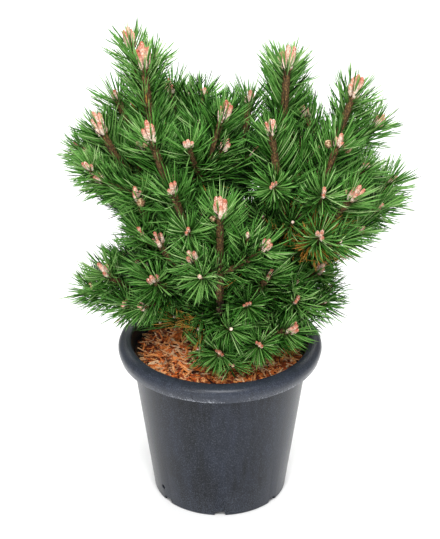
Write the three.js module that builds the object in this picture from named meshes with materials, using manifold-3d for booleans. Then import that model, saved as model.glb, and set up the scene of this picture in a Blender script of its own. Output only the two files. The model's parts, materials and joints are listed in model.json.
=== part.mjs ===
// Mugo pine in a nursery pot: pot, bark mulch, short trunk, boughs and the masses of foliage they carry.
// Millimetres, +Z up. The origin is the middle of the pot's flat underside, and -Y is the front.
import * as THREE from "three";
import { mergeVertices } from "three/addons/utils/BufferGeometryUtils.js";
import Module from "manifold-3d";

const wasm = await Module();
wasm.setup();

// ---------------------------------------------------------------------------------------------
// Driving dimensions
// ---------------------------------------------------------------------------------------------
const GAP = 0.3; // clear space between neighbouring pieces

const POT = {
  height: 272,
  rimRadius: 165,
  lipRadius: 141, // inside edge of the rolled rim
  rimDrop: 26.5, // from the top of the rim to the lower edge of its skirt
  skirtRadius: 160.5, // the skirt's lower edge
  footRadius: 108.5,
  bodyRadius: 142, // outside, at the level of the skirt's lower edge
  wall: 3,
  floor: 11, // a thick slab: the drain notches are cut into it and stay clear of the mulch
  segments: 32,
};
const DRAIN_NOTCH = { count: 7, mouth: 20, top: 14.5, height: 8.5, depth: 18 };

const MULCH = { edgeTop: 246, crown: 252, seatRadius: 34, lump: 2.6, segments: 24 };

const TRUNK = {
  foot: 249,
  height: 84,
  footRadius: 27,
  waistRadius: 20,
  topRadius: 14,
  flareHeight: 20,
  lean: [4, -3], // sideways travel from foot to fork
};

const SHOOT = {
  length: 112, // from the whorl of side shoots to the leader's buds
  stem: 46, // from the bough's tip to the whorl, still in needle
  splay: 46, // degrees between a side shoot and the leader
  sideLength: 0.82, // of the leader's
  upturn: 0.42, // how strongly a side shoot turns up towards the light
  shaken: { turn: 34, splay: 16, length: 0.24, root: 7 }, // how far apart the seeded rule may set them
};

// A shoot with its needles is one toothed body: ridges run along it, and every tooth is a bundle of needles.
const BRUSH = {
  leader: { ridges: 5, rings: 7 },
  side: { ridges: 4, rings: 4 },
  stalk: 4.6, // radius where the shoot starts
  crease: 8, // radius between two ridges
  valley: 13, // radius of a ridge between two teeth
  needle: 57,
  pitch: [54, 20], // a needle's angle to the shoot, in degrees, at the shoot's start and at its buds
  crowding: 1.3, // above 1, the teeth stand closer towards the buds
  toothShares: [1, 0.85, 0.7, 0.55], // how long a tooth may be, tried in turn against its mass's space
  wholeShares: [1, 0.86, 0.72, 0.58, 0.44], // how long every tooth may be, against what stands
};
const CANDLE = { length: 34, radius: 5.4 };

// A shoot's lean from upright grows with its bough's reach and shrinks with its height.
const LEAN = { widestReach: 260, outward: 1.1, lowest: 250, span: 450, least: 0.15, upward: 1.6, power: 1.3 };

const BOUGH = {
  tipRadius: 5.4,
  growth: 3.4, // of its thickness with each bough that springs from it
  ofParent: 0.86, // the most of its parent's thickness that it may have
  taper: 0.8,
  level: 0.35, // how much of its climb it shows where it leaves
  forward: 0.45, // how far its parent's direction carries it on
  bends: [0.36, 0.34], // where its curve is led from its two ends, as shares of its span
  sides: 5,
  segments: 4,
};

// Each bough carries one mass of foliage. share: how far along its parent limb the bough leaves it.
// heading: degrees anticlockwise from +X, seen from above. reach: from the pot's axis to the buds of the
// leading shoot. height: of those buds over the ground. sides: side shoots round the leader.
// turn: where the first of them stands. Where a bough departs from the rules it says so at the end:
// lean [degrees from upright, heading], size of its shoots, and splay between them.
function bough(place, parent, share, heading, reach, height, sides, turn, own = {}) {
  const { splay, sideLength } = SHOOT;
  return { place, parent, share, heading, reach, height, sides, turn, size: 1, splay, sideLength, ...own };
}

const BOUGHS = [
  bough("leader_left", "trunk", 1, -171, 114, 741, 1, 45, { lean: [6, 180], splay: 15, sideLength: 1.14 }),
  bough("leader_right", "trunk", 0.93, -8, 101, 739, 1, 0, { lean: [3, 20], splay: 33, sideLength: 0.9 }),
  bough("left_shoulder", "trunk", 0.84, 180, 179, 628, 4, 320, { splay: 44, sideLength: 1.0 }),
  bough("right_shoulder", "trunk", 0.8, 0, 200, 688, 2, 275, { lean: [17, 0], splay: 56, sideLength: 0.7 }),
  bough("centre_front", "trunk", 0.72, -90, 160, 565, 3, 5, { lean: [12, -90], splay: 50 }),
  bough("far_right", "trunk", 0.62, 4, 265, 536, 4, 20, { lean: [50, 0], splay: 30 }),
  bough("back", "trunk", 0.7, 92, 215, 540, 4, 0, { sideLength: 0.72 }),
  bough("low_left", "trunk", 0.42, -163, 182, 414, 4, 55, { lean: [45, -140], splay: 32 }),
  bough("low_right", "trunk", 0.46, -20, 160, 420, 4, 30, { lean: [46, -30], splay: 38, sideLength: 0.9 }),
  bough("low_front", "trunk", 0.26, -90, 128, 316, 3, 0, { lean: [64, -95], size: 0.6 }),
  bough("low_back_left", "trunk", 0.38, 127, 200, 400, 4, 45, { splay: 64, sideLength: 0.92 }),
  bough("low_back_right", "trunk", 0.5, 48, 205, 395, 4, 30),
  bough("high_back_left", "leader_left", 0.42, 157, 172, 655, 3, 355, { splay: 58 }),
  bough("top_back_left", "leader_left", 0.55, 135, 108, 664, 3, 120, { splay: 30, sideLength: 0.95 }),
  bough("high_left", "leader_left", 0.3, -140, 132, 652, 2, 95, { splay: 64, sideLength: 0.92 }),
  bough("centre_high", "leader_right", 0.38, -86, 44, 668, 3, 260, { lean: [16, 0] }),
  bough("top_back_right", "leader_right", 0.5, 60, 91, 646, 3, 255, { splay: 40, sideLength: 0.92 }),
  bough("inner_right", "leader_right", 0.26, -42, 103, 655, 3, 165, { lean: [8, 180], splay: 64, size: 0.85 }),
  bough("mid_left", "left_shoulder", 0.4, -146, 148, 557, 3, 30, { lean: [22, -142], splay: 34, sideLength: 0.72 }),
  bough("centre_left", "centre_front", 0.38, -118, 145, 585, 2, 120),
  bough("front_right", "right_shoulder", 0.36, -20, 186, 632, 3, 305, { lean: [20, -20], splay: 52, sideLength: 0.92 }),
  bough("mid_right", "far_right", 0.45, -25, 216, 560, 3, 0),
  bough("inner_left", "low_left", 0.42, -129, 142, 494, 3, 60, { lean: [30, -150], size: 0.8 }),
  bough("low_left_front", "trunk", 0.36, -127, 163, 441, 3, 75, { lean: [55, -110], splay: 52, size: 0.8 }),
  bough("low_right_front", "trunk", 0.34, -49, 161, 352, 3, 30, { size: 0.75 }),
  bough("inner_front_right", "trunk", 0.56, -59, 142, 446, 3, 30, { size: 0.85 }),
  bough("back_left", "low_back_left", 0.45, 140, 200, 515, 3, 80, { splay: 38 }),
  bough("back_right", "low_back_right", 0.45, 36, 228, 548, 3, 0),
];

// ---------------------------------------------------------------------------------------------
// Small helpers
// ---------------------------------------------------------------------------------------------
const UP = new THREE.Vector3(0, 0, 1);
const radians = THREE.MathUtils.degToRad;

function seededRandom(seed) {
  let state = seed >>> 0;
  return () => {
    state = (state + 0x6d2b79f5) >>> 0;
    let mixed = Math.imul(state ^ (state >>> 15), state | 1);
    mixed ^= mixed + Math.imul(mixed ^ (mixed >>> 7), mixed | 61);
    return ((mixed ^ (mixed >>> 14)) >>> 0) / 4294967296;
  };
}

// A unit vector that leans by `lean` degrees from upright, towards `heading`.
function leaning(lean, heading) {
  const side = Math.sin(radians(lean));
  return new THREE.Vector3(
    side * Math.cos(radians(heading)),
    side * Math.sin(radians(heading)),
    Math.cos(radians(lean)),
  );
}

// Two unit vectors square to `axis` and to each other.
function across(axis) {
  const helper = Math.abs(axis.z) < 0.9 ? UP : new THREE.Vector3(1, 0, 0);
  const first = new THREE.Vector3().crossVectors(axis, helper).normalize();
  return [first, new THREE.Vector3().crossVectors(axis, first)];
}

// `axis` tilted by `angle` towards the direction `turn` round it, in radians.
function tilted(axis, angle, turn) {
  const [first, second] = across(axis);
  return axis
    .clone()
    .multiplyScalar(Math.cos(angle))
    .addScaledVector(first, Math.sin(angle) * Math.cos(turn))
    .addScaledVector(second, Math.sin(angle) * Math.sin(turn));
}

// A closed geometry as a solid for cutting and joining.
function solidOf(geometry) {
  const bare = geometry.clone();
  bare.deleteAttribute("normal");
  bare.deleteAttribute("uv");
  const merged = mergeVertices(bare, 1e-3);
  const index = merged.index.array;
  const faces = [];
  for (let i = 0; i < index.length; i += 3) {
    const [a, b, c] = [index[i], index[i + 1], index[i + 2]];
    if (a !== b && b !== c && c !== a) faces.push(a, b, c);
  }
  const mesh = new wasm.Mesh({
    numProp: 3,
    vertProperties: merged.attributes.position.array,
    triVerts: new Uint32Array(faces),
  });
  return new wasm.Manifold(mesh);
}

function geometryOf(solid) {
  const { vertProperties, triVerts } = solid.getMesh();
  const geometry = new THREE.BufferGeometry();
  geometry.setAttribute("position", new THREE.BufferAttribute(vertProperties, 3));
  geometry.setIndex(new THREE.BufferAttribute(triVerts, 1));
  const faceted = geometry.toNonIndexed();
  faceted.computeVertexNormals();
  return faceted;
}

// The largest body of a solid: loose scraps left by a cut are dropped.
function largestBody(solid) {
  return solid.decompose().reduce((best, body) => (body.volume() > best.volume() ? body : best));
}

// A closed limb along a curve: a cylinder bent to the curve, with its radius given along it.
function limbGeometry(curve, radiusAt, sides, segments) {
  const geometry = new THREE.CylinderGeometry(1, 1, 1, sides, segments);
  const { normals, binormals } = curve.computeFrenetFrames(segments);
  const position = geometry.attributes.position;
  for (let i = 0; i < position.count; i += 1) {
    const along = position.getY(i) + 0.5;
    const ring = Math.round(along * segments);
    const radius = radiusAt(along);
    const point = curve
      .getPointAt(along)
      .addScaledVector(binormals[ring], position.getX(i) * radius)
      .addScaledVector(normals[ring], position.getZ(i) * radius);
    position.setXYZ(i, point.x, point.y, point.z);
  }
  return geometry;
}

function latheAboutZ(profile, segments) {
  const points = profile.map(([radius, height]) => new THREE.Vector2(radius, height));
  return new THREE.LatheGeometry(points, segments).rotateX(Math.PI / 2);
}

// ---------------------------------------------------------------------------------------------
// Pot and mulch
// ---------------------------------------------------------------------------------------------
const skirtLevel = POT.height - POT.rimDrop;
const bodySlope = (POT.bodyRadius - POT.footRadius) / skirtLevel;
const bodyRadiusAt = (z) => POT.footRadius + bodySlope * z;

function potSolid() {
  const { height, rimRadius, lipRadius, skirtRadius, wall, floor } = POT;
  const underRim = height - wall;
  const outside = [
    [0, 0],
    [POT.footRadius - 2, 0],
    [bodyRadiusAt(2), 2],
    [bodyRadiusAt(underRim - 5), underRim - 5],
  ];
  const rolledRim = [
    [rimRadius - 9, underRim - 1.5],
    [rimRadius - 3.2, height - 12],
    [skirtRadius - 2.8, skirtLevel],
    [skirtRadius, skirtLevel],
    [rimRadius, height - 12],
    [rimRadius - 3, height - 4.5],
    [rimRadius - 11, height],
    [lipRadius + 2, height],
  ];
  const inside = [
    [bodyRadiusAt(height - 12) - wall, height - 12],
    [bodyRadiusAt(floor) - wall, floor],
    [0, floor],
  ];
  const shell = solidOf(latheAboutZ([...outside, ...rolledRim, ...inside], POT.segments));
  return shell.subtract(wasm.Manifold.union(drainNotches()));
}

// Trapezoid cut-outs round the foot, through the wall and the edge of the floor.
function drainNotches() {
  const { count, mouth, top, height, depth } = DRAIN_NOTCH;
  const clearance = 2;
  const outline = new THREE.Shape([
    new THREE.Vector2(-mouth / 2, -clearance),
    new THREE.Vector2(mouth / 2, -clearance),
    new THREE.Vector2(top / 2, height),
    new THREE.Vector2(-top / 2, height),
  ]);
  const length = depth + 2 * clearance;
  return Array.from({ length: count }, (_, k) => {
    const cutter = new THREE.ExtrudeGeometry(outline, { depth: length, bevelEnabled: false });
    cutter.rotateX(Math.PI / 2); // outline upright, extruded towards the front
    cutter.translate(0, -(POT.footRadius - depth), 0);
    cutter.rotateZ((k * 2 * Math.PI) / count);
    return solidOf(cutter);
  });
}

// Height of the mulch, mounded a little and uneven, over a flat seat for the trunk.
function mulchTop(x, y) {
  const edge = bodyRadiusAt(MULCH.edgeTop) - POT.wall;
  const out = Math.min(1, Math.hypot(x, y) / edge);
  if (out * edge < MULCH.seatRadius + 1) return TRUNK.foot - GAP;
  const mound = MULCH.edgeTop + (MULCH.crown - MULCH.edgeTop) * Math.cos((out * Math.PI) / 2);
  const lumps = Math.sin(x * 0.09 + 1.3) * Math.cos(y * 0.11 - 0.4) + 0.6 * Math.sin((x - y) * 0.16);
  return mound + MULCH.lump * lumps * Math.sin(out * Math.PI);
}

function mulchGeometry() {
  const bottom = POT.floor + GAP;
  const radiusAt = (z) => bodyRadiusAt(z) - POT.wall - GAP - 0.6;
  const edge = radiusAt(MULCH.edgeTop);
  const rings = [0, MULCH.seatRadius, 58, 82, 106, edge - 6, edge];
  const top = rings.map((radius) => [radius, MULCH.edgeTop]).reverse();
  const geometry = latheAboutZ([[0, bottom], [radiusAt(bottom), bottom], ...top], MULCH.segments);
  const position = geometry.attributes.position;
  for (let i = 0; i < position.count; i += 1) {
    if (position.getZ(i) > MULCH.edgeTop - 1) {
      position.setZ(i, mulchTop(position.getX(i), position.getY(i)));
    }
  }
  return geometry;
}

// ---------------------------------------------------------------------------------------------
// Trunk and boughs
// ---------------------------------------------------------------------------------------------
function makeTrunk() {
  const foot = new THREE.Vector3(0, 0, TRUNK.foot);
  const fork = new THREE.Vector3(TRUNK.lean[0], TRUNK.lean[1], TRUNK.foot + TRUNK.height);
  const middle = foot.clone().lerp(fork, 0.5).setX(0).setY(0);
  const curve = new THREE.QuadraticBezierCurve3(foot, middle, fork);
  const radiusAt = (along) => {
    const flare = Math.max(0, 1 - (along * TRUNK.height) / TRUNK.flareHeight);
    const straight = THREE.MathUtils.lerp(TRUNK.waistRadius, TRUNK.topRadius, along);
    return straight + (TRUNK.footRadius - TRUNK.waistRadius) * flare * flare;
  };
  return { name: "trunk", curve, radiusAt, sides: 8, segments: 6 };
}

// How far from upright, and which way, the leading shoot of a bough points.
function shootDirection({ reach, height, heading, lean }) {
  if (lean) return leaning(...lean);
  const outward = (LEAN.outward * reach) / LEAN.widestReach;
  const upward = LEAN.least + LEAN.upward * ((height - LEAN.lowest) / LEAN.span) ** LEAN.power;
  return leaning(THREE.MathUtils.radToDeg(Math.atan2(outward, upward)), heading);
}

// How many boughs spring from this one, at any remove: a limb is as thick as what it carries.
function carried(place) {
  return BOUGHS.filter((row) => row.parent === place).reduce((sum, row) => sum + 1 + carried(row.place), 0);
}

// A bough leaves its parent's middle, swings outwards and turns up into its leading shoot.
function makeBough(row, limbs) {
  const parent = limbs.find(({ name }) => name === row.parent || name === `bough_${row.parent}`);
  const start = parent.curve.getPointAt(row.share);
  const direction = shootDirection(row);
  const buds = new THREE.Vector3(
    row.reach * Math.cos(radians(row.heading)),
    row.reach * Math.sin(radians(row.heading)),
    row.height,
  );
  const whorl = buds.clone().addScaledVector(direction, -SHOOT.length * row.size);
  const end = whorl.clone().addScaledVector(direction, -SHOOT.stem * row.size);
  const span = end.distanceTo(start);
  const leave = end.clone().sub(start).setZ((end.z - start.z) * BOUGH.level).normalize();
  leave.addScaledVector(parent.curve.getTangentAt(row.share), BOUGH.forward).normalize();
  const curve = new THREE.CubicBezierCurve3(
    start,
    start.clone().addScaledVector(leave, span * BOUGH.bends[0]),
    end.clone().addScaledVector(direction, -span * BOUGH.bends[1]),
    end,
  );
  const thickest = Math.min(
    BOUGH.tipRadius + BOUGH.growth * Math.sqrt(1 + carried(row.place)),
    parent.radiusAt(row.share) * BOUGH.ofParent,
  );
  const radiusAt = (along) => THREE.MathUtils.lerp(thickest, BOUGH.tipRadius, along ** BOUGH.taper);
  return {
    name: `bough_${row.place}`,
    row,
    curve,
    radiusAt,
    buds,
    whorl,
    end,
    direction,
    sides: BOUGH.sides,
    segments: BOUGH.segments,
  };
}

const limbSolid = (limb, extra = 0) =>
  solidOf(limbGeometry(limb.curve, (along) => limb.radiusAt(along) + extra, limb.sides, limb.segments));

const trunk = makeTrunk();
const boughs = [];
for (const row of BOUGHS) boughs.push(makeBough(row, [trunk, ...boughs]));
const limbs = [trunk, ...boughs];

// Every limb is cut clear of the ones made before it, so a fork is a snug joint with a hair's gap.
function limbSolids() {
  const made = [];
  const grown = [];
  for (const limb of limbs) {
    const whole = limbSolid(limb);
    const solid = grown.length ? largestBody(whole.subtract(wasm.Manifold.union(grown))) : whole;
    made.push([limb.name, solid]);
    grown.push(limbSolid(limb, GAP));
  }
  return made;
}

// ---------------------------------------------------------------------------------------------
// Foliage
// ---------------------------------------------------------------------------------------------
// A shoot is a curve that sets out in one direction and turns up a little.
function shootCurve(start, direction, length) {
  const upturned = direction.clone().addScaledVector(UP, SHOOT.upturn).normalize();
  const bend = start.clone().addScaledVector(direction, length / 2);
  return new THREE.QuadraticBezierCurve3(start, bend, bend.clone().addScaledVector(upturned, length / 2));
}

// The leader and its ring of side shoots, by a seeded rule.
function shootsOf(bough, seed) {
  const random = seededRandom(seed);
  const { whorl, end, buds, direction, row } = bough;
  const start = end.clone().addScaledVector(direction, GAP * 1.2);
  const spin = () => random() * Math.PI * 2;
  const shake = (width) => (random() - 0.5) * width;
  const { shaken } = SHOOT;
  const shoots = [{ curve: new THREE.LineCurve3(start, buds), leader: true, turn: spin(), ...BRUSH.leader }];
  for (let k = 0; k < row.sides; k += 1) {
    const turn = radians(row.turn + (360 * k) / row.sides + shake(shaken.turn));
    const splay = radians(row.splay + shake(shaken.splay));
    const length = buds.distanceTo(whorl) * (row.sideLength + shake(shaken.length));
    const root = whorl.clone().addScaledVector(direction, random() * shaken.root);
    const curve = shootCurve(root, tilted(direction, splay, turn), length);
    shoots.push({ curve, leader: false, turn: spin(), ...BRUSH.side });
  }
  return shoots;
}

function distanceToSegment(point, from, to) {
  return new THREE.Line3(from, to).closestPointToPoint(point, true, new THREE.Vector3()).distanceTo(point);
}

// A mass's own space: the points nearer to its stem and leader than to any other mass's.
const SPACE_MARGIN = 1.6;

function inOwnSpace(point, bough) {
  const own = distanceToSegment(point, bough.end, bough.buds) + SPACE_MARGIN;
  return boughs.every((other) => other === bough || distanceToSegment(point, other.end, other.buds) > own);
}

// Every solid that the foliage has to keep clear of: pot, mulch, limbs and the masses made so far.
const standing = [];

function isClear(piece, mass) {
  const box = piece.boundingBox();
  const apart = (other) =>
    [0, 1, 2].some((axis) => box.min[axis] > other.max[axis] + GAP || other.min[axis] > box.max[axis] + GAP);
  return standing.every(
    (other) => other.mass === mass || apart(other.bounds) || piece.minGap(other.solid, 2 * GAP) > GAP,
  );
}

// How far along its shoot a ring stands.
const ringAlong = (ring, rings) => 1 - (1 - ring / rings) ** BRUSH.crowding;

// The tip of the bundle of needles that starts at `along` on a shoot, `turn` round it. share: 1 for whole.
function toothTip(curve, along, turn, share) {
  const pitch = radians(THREE.MathUtils.lerp(BRUSH.pitch[0], BRUSH.pitch[1], along));
  const axis = curve.getTangentAt(along);
  const tip = curve.getPointAt(along).addScaledVector(tilted(axis, pitch, turn), BRUSH.needle * share);
  return tip;
}

// The body of a shoot and its needles: a cylinder of alternate ridges and creases, whose ridges rise into
// teeth at every second ring and whose last cap is drawn out into the bud. toothShare(ring, ridge): 0 to 1.
function brushGeometry(shoot, toothShare) {
  const { curve, ridges, rings, turn } = shoot;
  const geometry = new THREE.CylinderGeometry(1, 1, 1, 2 * ridges, rings);
  const position = geometry.attributes.position;
  for (let i = 0; i < position.count; i += 1) {
    const ring = Math.round((position.getY(i) + 0.5) * rings);
    const along = ringAlong(ring, rings);
    const axis = curve.getTangentAt(along);
    const centre = curve.getPointAt(along);
    const out = Math.hypot(position.getX(i), position.getZ(i));
    const column = Math.round((Math.atan2(position.getX(i), position.getZ(i)) * ridges) / Math.PI);
    const angle = turn + (column * Math.PI) / ridges;
    const ridge = column % 2 === 0;
    const isEnd = ring === 0 || ring === rings;
    const share = ridge && !isEnd ? toothShare(ring, column / 2) : 0;
    let point = centre;
    if (share > 0) {
      point = toothTip(curve, along, angle, share);
    } else if (out > 0.5) {
      const body = ridge ? BRUSH.valley : BRUSH.crease;
      const radius = ring === 0 ? BRUSH.stalk : isEnd ? CANDLE.radius : body;
      point = centre.addScaledVector(tilted(axis, Math.PI / 2, angle), radius);
    } else if (ring === rings) {
      point = centre.addScaledVector(axis, CANDLE.length);
    }
    position.setXYZ(i, point.x, point.y, point.z);
  }
  return geometry;
}

// The largest brush that fits: a tooth is as long as its mass's space allows, and the whole brush is
// thinned until it clears everything that stands.
function brushSolid(shoot, mass) {
  const shares = new Map();
  const ownShare = (ring, ridge) => {
    if ((ring + ridge) % 2 === 0) return 0;
    const key = `${ring} ${ridge}`;
    if (!shares.has(key)) {
      const turn = shoot.turn + (2 * ridge * Math.PI) / shoot.ridges;
      const along = ringAlong(ring, shoot.rings);
      const fits = (share) => inOwnSpace(toothTip(shoot.curve, along, turn, share), mass.bough);
      shares.set(key, BRUSH.toothShares.find(fits) ?? 0);
    }
    return shares.get(key);
  };
  for (const most of BRUSH.wholeShares) {
    const brush = solidOf(brushGeometry(shoot, (ring, ridge) => Math.min(most, ownShare(ring, ridge))));
    if (isClear(brush, mass)) return brush;
  }
  return null;
}

// Every leader takes its room first, and then the side shoots fill what is left.
function foliageSolids() {
  const masses = boughs.map((bough, index) => ({ bough, shoots: shootsOf(bough, 100 + index), pieces: [] }));
  const grow = (mass, solid) => {
    mass.pieces.push(solid);
    standing.push({ solid, bounds: solid.boundingBox(), mass });
  };
  for (const mass of masses) {
    const [leader] = mass.shoots;
    const brush = brushSolid(leader, mass);
    if (!brush) throw new Error(`${mass.bough.name} leads into another limb`);
    grow(mass, brush);
  }
  for (const mass of masses) {
    for (const shoot of mass.shoots.slice(1)) {
      const brush = brushSolid(shoot, mass);
      if (brush) grow(mass, brush);
    }
  }
  return masses.map(({ bough, pieces }) => [bough, largestBody(wasm.Manifold.union(pieces))]);
}

// ---------------------------------------------------------------------------------------------
// The plant
// ---------------------------------------------------------------------------------------------
const material = (color, roughness) => new THREE.MeshStandardMaterial({ color, roughness, metalness: 0 });
const potPlastic = material(0x3b404a, 0.55);
const shreddedBark = material(0xa8582c, 0.9);
const pineBark = material(0x5b3a24, 0.9);
const pineNeedles = material(0x2f6b2a, 0.6);

const plant = new THREE.Group();
function add(name, geometry, finish) {
  const mesh = new THREE.Mesh(geometry, finish);
  mesh.name = name;
  plant.add(mesh);
}

function stand(name, solid, finish) {
  standing.push({ solid, bounds: solid.boundingBox(), mass: null });
  add(name, geometryOf(solid), finish);
}

stand("pot", potSolid(), potPlastic);
stand("bark_mulch", solidOf(mulchGeometry()), shreddedBark);
for (const [name, solid] of limbSolids()) stand(name, solid, pineBark);
for (const [bough, solid] of foliageSolids()) {
  add(`foliage_${bough.row.place}`, geometryOf(solid), pineNeedles);
}

export default plant;
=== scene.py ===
# %% [markdown]
# # A young mugo pine in a nursery pot
# A mugo pine is a dwarf mountain pine. A nursery sells it in a blow-moulded pot with a rolled rim, topped
# with shredded bark. A short trunk forks into boughs, each bough ends in a leading shoot with a whorl of side
# shoots, and every shoot is a bottle brush of paired needles ending in a cluster of pink buds, the candles.
# This lesson dresses a plain solid model: the solids give the sizes, and Blender gives the looks.
# The plant is worked out in millimetres, as its solids are, and turned to metres when a mesh is made.

import json
import math

import bmesh
import bpy
import numpy as np
from mathutils import Matrix, Vector, noise

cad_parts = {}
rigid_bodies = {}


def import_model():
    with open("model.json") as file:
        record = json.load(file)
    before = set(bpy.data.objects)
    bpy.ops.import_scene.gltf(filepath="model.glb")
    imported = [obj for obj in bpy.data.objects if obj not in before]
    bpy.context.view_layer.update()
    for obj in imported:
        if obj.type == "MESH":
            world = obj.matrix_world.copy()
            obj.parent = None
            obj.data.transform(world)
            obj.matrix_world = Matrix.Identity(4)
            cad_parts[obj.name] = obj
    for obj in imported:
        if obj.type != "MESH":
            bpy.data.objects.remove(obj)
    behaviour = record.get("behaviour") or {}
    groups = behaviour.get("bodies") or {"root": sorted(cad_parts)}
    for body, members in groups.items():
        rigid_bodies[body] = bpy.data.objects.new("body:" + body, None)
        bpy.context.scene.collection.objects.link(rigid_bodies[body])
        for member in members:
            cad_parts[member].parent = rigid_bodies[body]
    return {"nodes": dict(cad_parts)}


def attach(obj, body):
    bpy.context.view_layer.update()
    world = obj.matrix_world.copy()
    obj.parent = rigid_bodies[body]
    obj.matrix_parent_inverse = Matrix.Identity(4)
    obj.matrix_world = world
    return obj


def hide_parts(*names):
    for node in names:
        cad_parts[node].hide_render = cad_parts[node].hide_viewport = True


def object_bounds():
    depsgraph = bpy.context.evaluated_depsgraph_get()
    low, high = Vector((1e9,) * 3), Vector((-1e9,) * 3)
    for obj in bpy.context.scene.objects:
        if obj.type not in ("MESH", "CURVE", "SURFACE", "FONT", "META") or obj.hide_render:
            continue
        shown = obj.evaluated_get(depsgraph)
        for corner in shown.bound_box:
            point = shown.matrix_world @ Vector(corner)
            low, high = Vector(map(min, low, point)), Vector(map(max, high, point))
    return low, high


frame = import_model()
cad_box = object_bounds()
MM = 0.001
print("solids:", len(frame["nodes"]), "box:", [tuple(round(v, 3) for v in corner) for corner in cad_box])

# %% [markdown]
# ## Sizes
# The pot's sizes are its maker's: height, rim, wall. The rest follows from them. They are the same named
# values that the solids were made from, so that a dressed piece lies on the solid it stands for.

# %% Sizes of pot, mulch and trunk
POT = dict(height=272, rim=165, lip=141, rim_drop=26.5, skirt=160.5, foot=108.5, body=142)
POT |= dict(wall=3, floor=11, steps=168)
NOTCH = dict(count=7, mouth=20, top=14.5, height=8.5, depth=18)
HOLE = dict(turn=-146, height=26, radius=4.2)  # the one drain hole in the wall
MULCH = dict(edge_top=246, crown=252, lump=2.6, crumb=9, relief=2.2, sink=1.8)
TRUNK = dict(foot=249, height=84, foot_radius=27, waist=20, top=14, flare=20, lean=(4, -3))
skirt_level = POT["height"] - POT["rim_drop"]


def pot_radius(z):
    """The pot's outside radius at a height, below the rim."""
    return POT["foot"] + (POT["body"] - POT["foot"]) * z / skirt_level


def inside_radius(z):
    """The pot's inside radius at a height."""
    return pot_radius(z) - POT["wall"]


print("pot wall leans", round(math.degrees(math.atan2(POT["body"] - POT["foot"], skirt_level)), 1), "degrees")

# %% [markdown]
# ## Pieces and templates
# A plant is thousands of copies of a few small things: needles, chips, buds. Modelling one of each with bmesh
# operators and copying it by arithmetic keeps the file small and the meshes light. `template` turns a bmesh
# into two arrays, and `planted` sets copies of it into frames of three axes and an origin.


# %% Helpers for meshes
def template(bm):
    """A bmesh's points and faces, as arrays, for planting."""
    bm.verts.ensure_lookup_table()
    points = np.array([v.co[:] for v in bm.verts])
    faces = [[v.index for v in f.verts] for f in bm.faces]
    bm.free()
    return points, faces


def planted(name, shape, origins, axes, values=None):
    """One mesh of a copy of the template at every origin. axes: (copies, 3, 3), each row where one of the
    template's own axes goes. values: {attribute: one number a copy}."""
    points, faces = shape
    placed = origins[:, None, :] + np.einsum("pi,nij->npj", points, axes)
    return joined(name, placed, faces, values)


def joined(name, placed, faces, values=None):
    """Copies of one shape, already in place, as one mesh in metres. placed: (copies, points, 3)."""
    copies, count, _ = placed.shape
    mesh = bpy.data.meshes.new(name)
    corners = np.concatenate([np.array(face) for face in faces])
    sizes = np.array([len(face) for face in faces])
    loops = (corners[None, :] + (np.arange(copies) * count)[:, None]).ravel()
    sizes = np.tile(sizes, copies)
    mesh.vertices.add(copies * count)
    mesh.vertices.foreach_set("co", (placed * MM).astype(np.float32).ravel())
    mesh.loops.add(len(loops))
    mesh.loops.foreach_set("vertex_index", loops.astype(np.int32))
    mesh.polygons.add(len(sizes))
    mesh.polygons.foreach_set("loop_start", (np.cumsum(sizes) - sizes).astype(np.int32))
    mesh.update(calc_edges=True)
    for attribute, numbers in (values or {}).items():
        layer = mesh.attributes.new(attribute, "FLOAT", "POINT")
        per_point = numbers if np.ndim(numbers) == 2 else np.repeat(np.asarray(numbers)[:, None], count, 1)
        layer.data.foreach_set("value", per_point.astype(np.float32).ravel())
    return mesh


def smooth(mesh, angle):
    """Shades a mesh smooth, with edges sharper than the angle kept."""
    mesh.polygons.foreach_set("use_smooth", np.ones(len(mesh.polygons), bool))
    mesh.set_sharp_from_angle(angle=math.radians(angle))


def tube(sides, height=1.0, foot=1.0, top=1.0):
    """A closed tube or cone round Z, standing on 0."""
    bm = bmesh.new()
    bmesh.ops.create_cone(bm, cap_ends=True, segments=sides, radius1=foot, radius2=top, depth=height)
    bmesh.ops.translate(bm, verts=bm.verts, vec=(0, 0, height / 2))
    return bm


def sliced(bm, places, normal=(0, 0, 1)):
    """Cuts a ring of edges into a bmesh at each place along a direction."""
    for place in places:
        whole = bm.verts[:] + bm.edges[:] + bm.faces[:]
        bmesh.ops.bisect_plane(bm, geom=whole, plane_co=Vector(normal) * place, plane_no=normal)


def show(mesh, material, replaces=()):
    """Puts a mesh in the scene as a piece of the plant."""
    piece = bpy.data.objects.new(mesh.name, mesh)
    bpy.context.scene.collection.objects.link(piece)
    mesh.materials.append(material)
    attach(piece, "root")
    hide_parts(*replaces)
    mesh.calc_loop_triangles()
    print(f"{piece.name}: {len(mesh.loop_triangles)} triangles")


# %% [markdown]
# ## Finishes
# Every finish is a Principled shader fed by noise. Two effects come back in several of them, so each is a
# node group: `mottle`, which is blotches of two sizes mixed into one value, and `specks`, the small pale
# grains of dust, lime or resin that sit on plastic, bark and buds alike.


# %% Helpers for nodes
def paint(code):
    """A hex colour, as a screen shows it, as Blender's linear colour."""
    channels = [int(code[i : i + 2], 16) / 255 for i in (0, 2, 4)]
    return (*[c / 12.92 if c <= 0.04045 else ((c + 0.055) / 1.055) ** 2.4 for c in channels], 1.0)


def node(tree, kind, output=0, inputs=None, **settings):
    """One output of a new node, whose inputs are given as values or as other nodes' outputs."""
    made = tree.nodes.new(kind)
    for key, value in settings.items():
        setattr(made, key, value)
    for key, value in (inputs or {}).items():
        if isinstance(value, bpy.types.NodeSocket):
            tree.links.new(value, made.inputs[key])
        else:
            made.inputs[key].default_value = value
    return made.outputs[output]


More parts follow.
